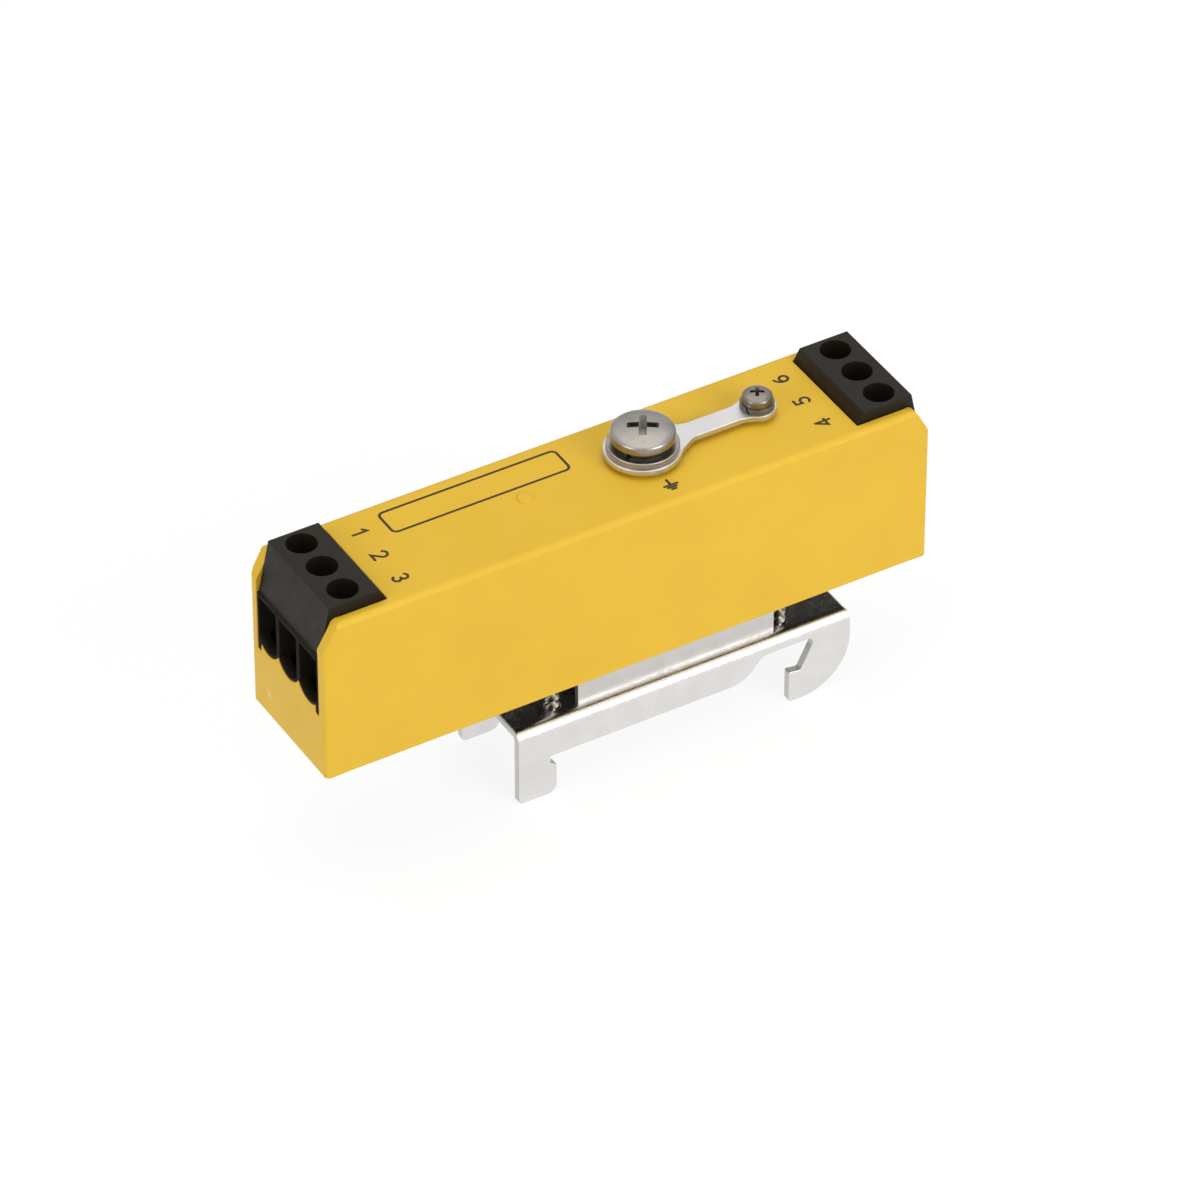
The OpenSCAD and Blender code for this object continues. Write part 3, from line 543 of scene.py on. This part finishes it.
# Wire clamps: a tinned cage with a threaded top rises round each contact bar as its zinc-plated
# slotted screw turns. The contact bar is tinned too, and its pin goes down to the board.
CLAMP_HEAD_H = 1.70
CLAMP_PITCH = 0.5
THREAD_STEPS = 32
THREAD_DEPTH = 0.6
THREAD_WELD = 0.0005
THREAD_LAP = 0.2
HEAD_LAP = 0.05
PLATE_SMOOTHER = 0.85
PLATE_ROUGHER = 1.2


def plated(name, colour, shade, rough, grain=(1, 1, 1), grain_per_mm=6.0, height=0.0012,
           stain=None):
    """Plated or bare metal: patchy gloss, fine grain along one way, and a stain in places."""
    material, add, link = node_tree(name)
    shader = add("ShaderNodeBsdfPrincipled", Metallic=1.0)
    link(shader.outputs[0], add("ShaderNodeOutputMaterial").inputs["Surface"])
    clouds = spread(add, link, object_noise(add, link, per_mm=0.35, detail=4.0), 0, 1)
    colours = tint(add, link, clouds, colour, shade)
    if stain:
        stain_colour, most = stain
        patches = spread(add, link, object_noise(add, link, per_mm=0.8, detail=5.0),
                         low=0, high=most, from_low=0.55, from_high=0.72)
        colours = tint(add, link, patches, colours, stain_colour)
    link(colours, shader.inputs["Base Color"])
    gloss = spread(add, link, object_noise(add, link, per_mm=1.1, detail=4.0),
                   rough * PLATE_SMOOTHER, rough * PLATE_ROUGHER)
    link(gloss, shader.inputs["Roughness"])
    scratches = object_noise(add, link, grain_per_mm, detail=3.0, stretch=grain)
    bumped(add, link, shader, [(scratches, 0.15, height)])
    return material


def add_thread(shape, x, y, low, high, radius, pitch):
    """Adds a closed right-handed screw thread that runs out flat at both ends."""
    turns = max(2, round((high - low) / pitch))
    rise = (high - low) / turns
    depth = rise * THREAD_DEPTH
    root = radius - depth

    def point(step, lift, reach):
        angle = 2 * math.pi * step / THREAD_STEPS
        return shape.verts.new((x + reach * math.cos(angle), y + reach * math.sin(angle), lift))

    def level(step):
        return low + min(max(rise * (step / THREAD_STEPS - 1), 0), high - low)

    last = THREAD_STEPS * (turns + 1)
    roots = [point(i, level(i), root) for i in range(last + THREAD_STEPS + 1)]
    crests = []
    for i in range(last + 1):
        below, above = level(i), level(i + THREAD_STEPS)
        crests.append(point(i, (below + above) / 2, root + depth * (above - below) / rise))
    for i in range(last):
        over = i + THREAD_STEPS
        shape.faces.new((roots[i], roots[i + 1], crests[i + 1], crests[i]))
        shape.faces.new((crests[i], crests[i + 1], roots[over + 1], roots[over]))
    shape.faces.new(roots[THREAD_STEPS - 1::-1])
    shape.faces.new(roots[last:last + THREAD_STEPS])
    bmesh.ops.remove_doubles(shape, verts=roots + crests, dist=THREAD_WELD)


def threaded(node, head_h, pitch, from_below=False):
    """Packed screw with a real thread in place of its plain shank, in millimetres."""
    low, high = box_mm(node)
    shape = cad_shape(node)
    seat = low.z + head_h if from_below else high.z - head_h
    lap = HEAD_LAP if from_below else -HEAD_LAP
    keep = -1 if from_below else 1
    bmesh.ops.bisect_plane(shape, geom=shape.verts[:] + shape.edges[:] + shape.faces[:],
                           plane_co=(0, 0, seat + lap), plane_no=(0, 0, -keep), clear_outer=True)
    rim = [edge for edge in shape.edges if edge.is_boundary]
    radius = max((edge.verts[0].co.xy - ((low + high) / 2).xy).length for edge in rim)
    bmesh.ops.holes_fill(shape, edges=rim)
    ends = (seat - THREAD_LAP, high.z) if from_below else (low.z, seat + THREAD_LAP)
    add_thread(shape, (low.x + high.x) / 2, (low.y + high.y) / 2, *ends, radius, pitch)
    bmesh.ops.recalc_face_normals(shape, faces=shape.faces)
    return shape


tin_plate = plated("tin_plate", (0.66, 0.65, 0.63), (0.58, 0.57, 0.55), rough=0.33)
zinc_plate = plated("zinc_plate", (0.50, 0.50, 0.51), (0.40, 0.40, 0.41), rough=0.30)
for side in ("left", "right"):
    for way in (1, 2, 3):
        add_piece(cad_shape(f"{side}_clamp_cage_{way}"), f"{side}_cage_{way}", [tin_plate],
                  f"{side}_cage_{way}", f"{side}_clamp_cage_{way}", edge=0.06,
                  least=2.5)
        add_piece(cad_shape(f"{side}_contact_{way}"), f"{side}_bar_{way}", [tin_plate],
                  "module", f"{side}_contact_{way}", edge=0.06)
        add_piece(threaded(f"{side}_clamp_screw_{way}", CLAMP_HEAD_H, CLAMP_PITCH),
                  f"{side}_screw_{way}", [zinc_plate], f"{side}_screw_{way}",
                  f"{side}_clamp_screw_{way}", sharp=35)

# Shield link: stamped strip with a large and a small eye, satin nickel-plated, lying on the ends
# of the two posts. Its punched edges are a little rounded.
link_nickel = plated("link_nickel", (0.64, 0.625, 0.625), (0.60, 0.585, 0.585), rough=0.40,
                     grain=(0.2, 1, 1), grain_per_mm=9.0)
add_piece(cad_shape("shield_link"), "link_strip", [link_nickel], "module",
          "shield_link", edge=0.08, steps=3)

# Washers: a flat and a split spring washer under the ground screw, and a small split one under the
# shield screw. The flat one is nickel-plated, and the split ones are darker spring steel, painted
# darker still as painted shade below the heads, the large one most.
washer_nickel = plated("washer_nickel", (0.38, 0.36, 0.33), (0.31, 0.29, 0.26), rough=0.34,
                       stain=((0.24, 0.20, 0.15), 0.35))
# Painted shade: the split washers' colours are darkened for the shade that falls under the heads.
painted_shade_spring_steel = plated("spring_washer_painted_shade", (0.125, 0.113, 0.100), (0.085, 0.076, 0.066),
                      rough=0.40)
small_painted_shade_spring_steel = plated("small_washer_painted_shade", (0.20, 0.185, 0.165), (0.15, 0.137, 0.12),
                            rough=0.40)
add_piece(cad_shape("ground_flat_washer"), "large_flat_washer", [washer_nickel],
          "ground_washers", "ground_flat_washer", edge=0.14, steps=3)
add_piece(cad_shape("ground_lock_washer"), "large_split_washer", [painted_shade_spring_steel],
          "ground_washers", "ground_lock_washer", edge=0.06)
add_piece(cad_shape("shield_lock_washer"), "small_split_washer", [small_painted_shade_spring_steel],
          "shield_washer", "shield_lock_washer", edge=0.05)

# Top screws: cross-recess machine screws, cold-headed with a domed head, and nickel-plated. Their
# threads go down into the two posts, and the recess is rougher than the head and painted darker
# as painted shade.
GROUND_HEAD_H, GROUND_PITCH = 1.8, 0.79375
SHIELD_HEAD_H, SHIELD_PITCH = 1.5, 0.4
RECESS_SHARE = 0.62
DOME_FACING = 0.8


def recessed(shape, head_h):
    """Gives the second material, a darker painted shade, to the recess in the top of a screw's head.
    """
    top = max(v.co.z for v in shape.verts)
    rim = [v.co for v in shape.verts if v.co.z > top - head_h]
    middle = (Vector([min(p[i] for p in rim) for i in (0, 1)])
              + Vector([max(p[i] for p in rim) for i in (0, 1)])) / 2
    reach = max((p.xy - middle).length for p in rim) * RECESS_SHARE
    for face in shape.faces:
        place = face.calc_center_median()
        inside = (place.xy - middle).length < reach and place.z > top - head_h
        face.material_index = 1 if inside and face.normal.z < DOME_FACING else 0
    return shape


screw_nickel = plated("screw_nickel", (0.345, 0.322, 0.298), (0.29, 0.268, 0.245), rough=0.29,
                      stain=((0.20, 0.165, 0.125), 0.30))
# Painted shade: a darker copy of the screws' nickel, for the darker look of the small head.
small_screw_painted_shade = plated("small_screw_painted_shade", (0.25, 0.225, 0.195), (0.20, 0.178, 0.15),
                            rough=0.31, stain=((0.16, 0.13, 0.095), 0.30))
# Painted shade: a darker nickel for the recess, where shade falls.
recess_painted_shade = plated("recess_painted_shade", (0.22, 0.20, 0.18), (0.15, 0.135, 0.118), rough=0.42)
add_piece(recessed(threaded("ground_screw", GROUND_HEAD_H, GROUND_PITCH), GROUND_HEAD_H),
          "large_screw", [screw_nickel, recess_painted_shade], "ground_screw",
          "ground_screw", sharp=35)
add_piece(recessed(threaded("shield_screw", SHIELD_HEAD_H, SHIELD_PITCH), SHIELD_HEAD_H),
          "small_screw", [small_screw_painted_shade, recess_painted_shade], "shield_screw",
          "shield_screw", sharp=35)

# Posts: turned brass, a hexagonal one from the saddle to the ground screw, and a round one from
# the board to the shield screw.
turned_brass = plated("turned_brass", (0.62, 0.42, 0.14), (0.55, 0.36, 0.11), rough=0.25,
                      grain=(0.3, 0.3, 3), grain_per_mm=5.0, height=0.003)
add_piece(cad_shape("ground_post"), "hexagon_post", [turned_brass], "module",
          "ground_post", edge=0.1)
add_piece(cad_shape("shield_post"), "round_post", [turned_brass], "module",
          "shield_post", edge=0.08)

# Saddle: folded and plated sheet steel that keeps the foot clear of the housing. The bolt clamps it
# between the foot's web and the ground post.
saddle_plate = plated("saddle_plate", (0.63, 0.615, 0.595), (0.58, 0.565, 0.545), rough=0.40,
                      grain=(0.15, 1, 1), grain_per_mm=5.0, height=0.0006)
add_piece(cad_shape("saddle"), "spacer_saddle", [saddle_plate], "module",
          "saddle", edge=0.04)

# Rail foot: one folded piece of spring steel, barrel-plated with bright nickel. Its sheared edges
# are rougher and a little darker than the sheet's faces.
WEB_SIDE_Z = 10.2
EDGE_FACING = 0.3
END_FACING = 0.7
foot_nickel = plated("foot_nickel", (0.76, 0.745, 0.73), (0.71, 0.695, 0.68), rough=0.24,
                     grain=(0.12, 1, 1), grain_per_mm=4.0, height=0.0002)
sheared_nickel = plated("sheared_nickel", (0.60, 0.59, 0.57), (0.50, 0.49, 0.47), rough=0.42,
                        grain=(1, 0.2, 1), grain_per_mm=7.0, height=0.004)
foot = cad_shape("rail_foot")
for face in foot.faces:
    outline = abs(face.normal.y) < EDGE_FACING and face.calc_center_median().z < WEB_SIDE_Z
    face.material_index = 1 if outline or abs(face.normal.x) > END_FACING else 0
add_piece(foot, "spring_foot", [foot_nickel, sheared_nickel], "module",
          "rail_foot", edge=0.1)

# Foot screws and bolt: four coarse screws go up through the web into the cover's bosses, and one
# bolt ties the foot and the saddle to the ground post. All are driven from below.
BOLT_HEAD_H, BOLT_PITCH = 2.0, 0.79375
FOOT_HEAD_H, FOOT_PITCH = 1.2, 1.2
bright_zinc = plated("bright_zinc", (0.56, 0.545, 0.52), (0.49, 0.475, 0.45), rough=0.27)
add_piece(threaded("foot_bolt", BOLT_HEAD_H, BOLT_PITCH, True), "post_bolt", [bright_zinc],
          "module", "foot_bolt", sharp=35)
for number in (1, 2, 3, 4):
    add_piece(threaded(f"foot_screw_{number}", FOOT_HEAD_H, FOOT_PITCH, True),
              f"cover_screw_{number}", [bright_zinc], "module",
              f"foot_screw_{number}", sharp=35)

# Circuit board: glass-fibre laminate with green solder mask over its copper. It lies on the
# cover's bosses, and carries the parts that follow.
solder_mask = moulded("solder_mask", (0.016, 0.105, 0.045), (0.012, 0.085, 0.036), rough=0.33,
                      grain_per_mm=2.0)
add_piece(cad_shape("circuit_board"), "board", [solder_mask], "module",
          "circuit_board", edge=0.05)

# Gas tube: glazed ceramic barrel with three plated rings, brazed on, and their three leads. It
# lies across the board and is soldered in by the leads.
TUBE_BARREL_R = 3.67
BARREL_LEAST_R = 3.0
END_WALL_FACING = 0.5
NEAR_FACE = 0.05
glazed_ceramic = moulded("glazed_ceramic", (0.72, 0.70, 0.66), (0.66, 0.64, 0.60), rough=0.22,
                         grain_per_mm=1.0)


def part_metal(shape, is_body):
    """Gives the second material to all faces but those whose middle lies on the part's body."""
    for face in shape.faces:
        face.material_index = 0 if is_body(face.calc_center_median(), face.normal) else 1
    return shape


tube_low, tube_high = box_mm("gas_tube")
tube_radius = (tube_high.x - tube_low.x) / 2
tube_axis = Vector(((tube_low.x + tube_high.x) / 2, 0, tube_high.z - tube_radius))


def on_barrel(place, normal):
    """Test for a face of the bare barrel between the rings."""
    reach = Vector((place.x - tube_axis.x, place.z - tube_axis.z)).length
    return abs(normal.y) < END_WALL_FACING and BARREL_LEAST_R < reach < TUBE_BARREL_R + NEAR_FACE


add_piece(part_metal(cad_shape("gas_tube"), on_barrel), "arrester_tube",
          [glazed_ceramic, tin_plate], "module", "gas_tube", edge=0.06)

# Series resistors: wound on a ceramic core under a green cement coat, with tinned leads. Painted
# rings round the coat give the value.
LEAD_BEND = 1.2
LEAD_D = 0.8
BODY_END_FACING = 0.3
BODY_END_ROOM = 0.01
BODY_END_REACH = 0.1
RING_HALF = 0.42
RESISTOR_RINGS = ((-0.34, (0.10, 0.045, 0.018)), (-0.16, (0.008, 0.007, 0.007)),
                  (0.02, (0.012, 0.010, 0.010)), (0.30, (0.50, 0.33, 0.10)))


def ringed(name, colour, shade, rough, rings):
    """Coat with painted rings across X, each a place, a half width in millimetres and a colour."""
    material, add, link = node_tree(name)
    shader = add("ShaderNodeBsdfPrincipled")
    link(shader.outputs[0], add("ShaderNodeOutputMaterial").inputs["Surface"])
    clouds = spread(add, link, object_noise(add, link, per_mm=0.6, detail=4.0), 0, 1)
    colours = tint(add, link, clouds, colour, shade)
    place = add("ShaderNodeTexCoord")
    split = add("ShaderNodeSeparateXYZ")
    link(place.outputs["Object"], split.inputs[0])
    for middle, half_width, paint in rings:
        distance = add("ShaderNodeMath", operation="COMPARE")
        distance.inputs[1].default_value = middle * MM
        distance.inputs[2].default_value = half_width * MM
        link(split.outputs["X"], distance.inputs[0])
        colours = tint(add, link, distance.outputs[0], colours, paint)
    link(colours, shader.inputs["Base Color"])
    gloss = spread(add, link, object_noise(add, link, per_mm=0.8, detail=3.0),
                   rough - SMOOTHER, rough + ROUGHER)
    link(gloss, shader.inputs["Roughness"])
    pores = object_noise(add, link, per_mm=3.0, detail=3.0)
    bumped(add, link, shader, [(pores, 0.3, 0.015)])
    return material


def on_axial_body(low, high):
    """Test for a face of an axial part's body, from the corners of the part with its leads."""
    reach = (high.y - low.y) / 2
    end = LEAD_BEND + LEAD_D / 2 + BODY_END_ROOM

    def test(place, normal):
        along = low.x + end < place.x < high.x - end
        beside = low.x + end - BODY_END_REACH < place.x < high.x - end + BODY_END_REACH
        on_end = abs(normal.x) > BODY_END_FACING and beside
        off_axis = Vector((place.y - (low.y + high.y) / 2, place.z - high.z + reach)).length
        return (along or on_end) and off_axis > LEAD_D / 2 + NEAR_FACE
    return test


def add_axial_pair(kind, coat):
    """Adds the front and the rear part of a kind, each a coated body with tinned leads."""
    for row in ("front", "rear"):
        node = f"{row}_{kind}"
        add_piece(part_metal(cad_shape(node), on_axial_body(*box_mm(node))),
                  f"{row}_line_{kind}", [coat, tin_plate], "module", node, edge=0.05)


low, high = box_mm("front_resistor")
body_l, middle_x = high.x - low.x - 2 * LEAD_BEND - LEAD_D, (low.x + high.x) / 2
rings = [(middle_x + body_l * share, RING_HALF, paint) for share, paint in RESISTOR_RINGS]
cement_coat = ringed("cement_coat", (0.08, 0.15, 0.115), (0.065, 0.12, 0.095), rough=0.5,
                     rings=rings)
add_axial_pair("resistor", cement_coat)

# Suppressor diodes: black moulded epoxy bodies with tinned leads, and a grey ring at one end. They
# are soldered into the board like the resistors.
DIODE_RING_IN = 1.3
DIODE_RING_HALF = 0.45
DIODE_RING_GREY = (0.45, 0.45, 0.45)
low, high = box_mm("front_diode")
diode_ring = (low.x + LEAD_BEND + LEAD_D / 2 + DIODE_RING_IN, DIODE_RING_HALF, DIODE_RING_GREY)
moulded_epoxy = ringed("moulded_epoxy", (0.020, 0.020, 0.022), (0.027, 0.027, 0.029), rough=0.4,
                       rings=[diode_ring])
add_axial_pair("diode", moulded_epoxy)

# Solder: bright tin, in one hollow-sided fillet round each pin on the board's underside, as wave
# soldering leaves it. Its outline runs by the distance past the pin's face and the height.
SOLDER_STEPS = 20
SOLDER_OUTLINE = ((-0.12, -1.05), (0.06, -1.05), (0.16, -0.70), (0.34, -0.34), (0.62, -0.10),
                  (0.72, 0.0), (-0.12, 0.0))
TUBE_LEAD_IN = 0.6
CONTACT_PIN_IN = 0.4
CONTACT_PIN_R = 0.6
SHIELD_PIN_R = 0.98
solder_tin = plated("solder_tin", (0.70, 0.70, 0.70), (0.62, 0.62, 0.62), rough=0.22)
board_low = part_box("circuit_board")[0].z / MM


def add_fillet(shape, x, y, pin):
    """Adds a hollow-sided cone of solder below the board, round a pin of some radius."""
    angles = [2 * math.pi * i / SOLDER_STEPS for i in range(SOLDER_STEPS)]
    rings = []
    for past, drop in SOLDER_OUTLINE:
        reach = pin + past
        rings.append([shape.verts.new((x + reach * math.cos(a), y + reach * math.sin(a),
                                       board_low + drop)) for a in angles])
    for ring, after in zip(rings, rings[1:] + rings[:1]):
        for i in range(SOLDER_STEPS):
            k = (i + 1) % SOLDER_STEPS
            shape.faces.new((ring[i], ring[k], after[k], after[i]))


solder = bmesh.new()
for part in ("front_resistor", "rear_resistor", "front_diode", "rear_diode"):
    low, high = box_mm(part)
    for x in (low.x + LEAD_D / 2, high.x - LEAD_D / 2):
        add_fillet(solder, x, (low.y + high.y) / 2, LEAD_D / 2)
for y in (tube_low.y + TUBE_LEAD_IN, 0, tube_high.y - TUBE_LEAD_IN):
    add_fillet(solder, tube_axis.x, y, LEAD_D / 2)
for side in ("left", "right"):
    for way in (1, 2, 3):
        low, high = box_mm(f"{side}_contact_{way}")
        pin_x = high.x - CONTACT_PIN_IN if side == "left" else low.x + CONTACT_PIN_IN
        add_fillet(solder, pin_x, (low.y + high.y) / 2, CONTACT_PIN_R)
low, high = box_mm("shield_post")
add_fillet(solder, (low.x + high.x) / 2, (low.y + high.y) / 2, SHIELD_PIN_R)
bmesh.ops.recalc_face_normals(solder, faces=solder.faces)
add_piece(solder, "solder_fillets", [solder_tin], "module", sharp=50)

# Corners of the imported part.
low, high = cad_box
